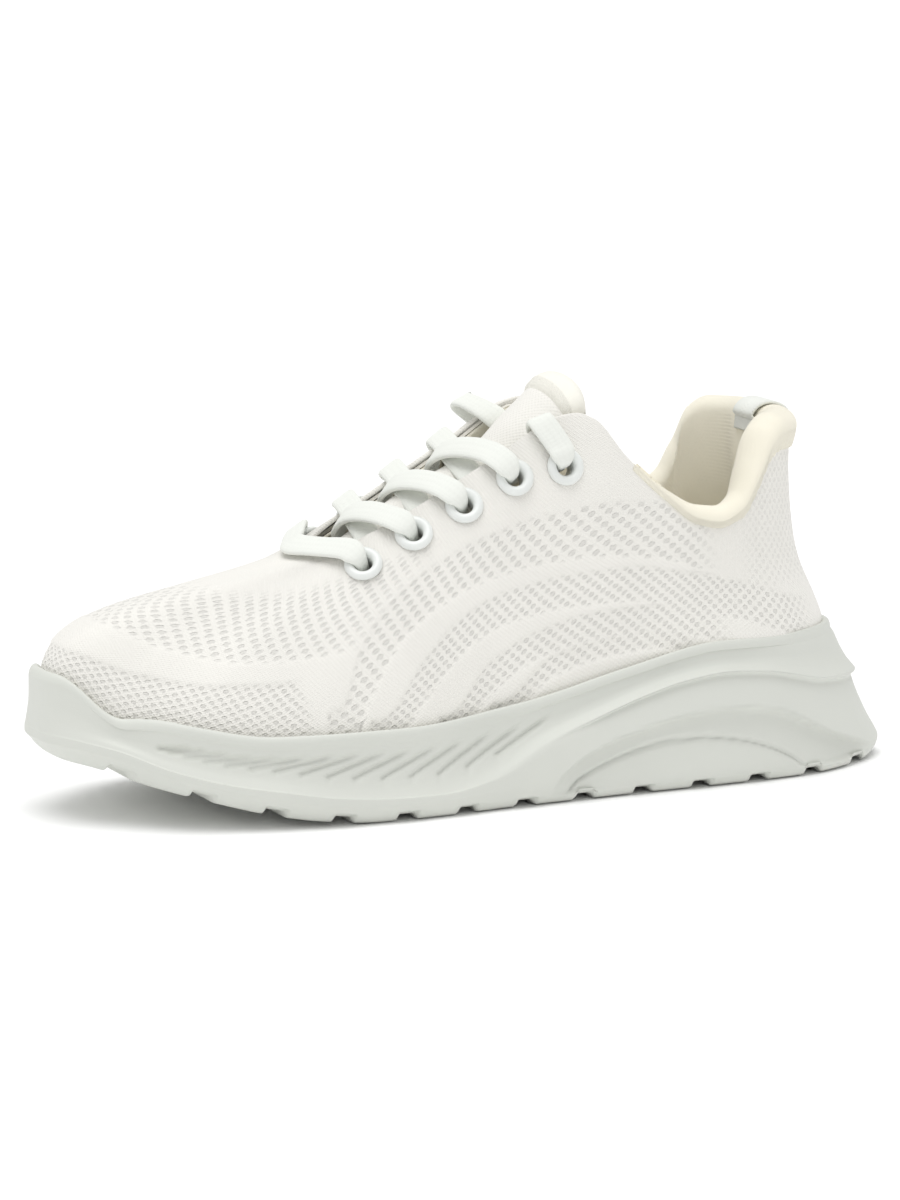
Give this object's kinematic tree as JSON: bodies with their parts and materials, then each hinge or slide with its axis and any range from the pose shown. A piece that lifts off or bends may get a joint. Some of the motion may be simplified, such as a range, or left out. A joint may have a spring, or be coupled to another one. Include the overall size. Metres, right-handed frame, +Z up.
{
  "type": "running shoe",
  "caption": "Laced knit running shoe for the left foot with a thick flared foam sole, padded collar and tongue.",
  "frame": {"origin": "middle of the footprint's bounding box, on the ground plane the tread rests on", "axes": "+X along the sole towards the heel (the toe points along -X), +Y towards the inner side of the foot, +Z up"},
  "size_m": [0.2824, 0.0996, 0.126],
  "materials": {
    "sole_foam": "moulded EVA foam, satin",
    "insole_foam": "open-cell foam",
    "knit": "engineered knit, matt",
    "lining": "brushed jersey",
    "collar": "soft jersey over foam",
    "padding": "open-cell foam",
    "board": "non-woven board",
    "stiffener": "resin-stiffened non-woven",
    "eyelet": "moulded, satin",
    "aglet": "clear film",
    "lace": "flat tubular weave",
    "tape": "narrow woven tape"
  },
  "bodies": {
    "shoe": {"aglet_lateral": "aglet", "aglet_medial": "aglet", "collar_foam": "padding", "collar_lining": "collar", "eyelet_lateral_1": "eyelet", "eyelet_lateral_2": "eyelet", "eyelet_lateral_3": "eyelet", "eyelet_lateral_4": "eyelet", "eyelet_lateral_5": "eyelet", "eyelet_medial_1": "eyelet", "eyelet_medial_2": "eyelet", "eyelet_medial_3": "eyelet", "eyelet_medial_4": "eyelet", "eyelet_medial_5": "eyelet", "eyelet_washer_lateral_1": "eyelet", "eyelet_washer_lateral_2": "eyelet", "eyelet_washer_lateral_3": "eyelet", "eyelet_washer_lateral_4": "eyelet", "eyelet_washer_lateral_5": "eyelet", "eyelet_washer_medial_1": "eyelet", "eyelet_washer_medial_2": "eyelet", "eyelet_washer_medial_3": "eyelet", "eyelet_washer_medial_4": "eyelet", "eyelet_washer_medial_5": "eyelet", "eyestay_backing_lateral": "stiffener", "eyestay_backing_medial": "stiffener", "heel_counter": "stiffener", "heel_pull_tape": "tape", "insole_cover": "lining", "insole_foam": "insole_foam", "knit_upper": "knit", "lace": "lace", "lace_end_lateral": "lace", "lace_end_medial": "lace", "sole_unit": "sole_foam", "strobel_board": "board", "toe_puff": "stiffener", "vamp_lining": "lining"},
    "tongue": {"tongue_cover": "knit", "tongue_foam": "padding", "tongue_lining": "lining"}
  },
  "joints": [
    {"name": "tongue_tilt", "type": "hinge", "parent": "shoe", "child": "tongue", "pos_m": [-0.06425, -0.00061, 0.062], "axis": [0, 1, 0], "range_deg": [0, 12], "stiffness_Nm_per_rad": 0.12, "springref_deg": -6.88}
  ]
}
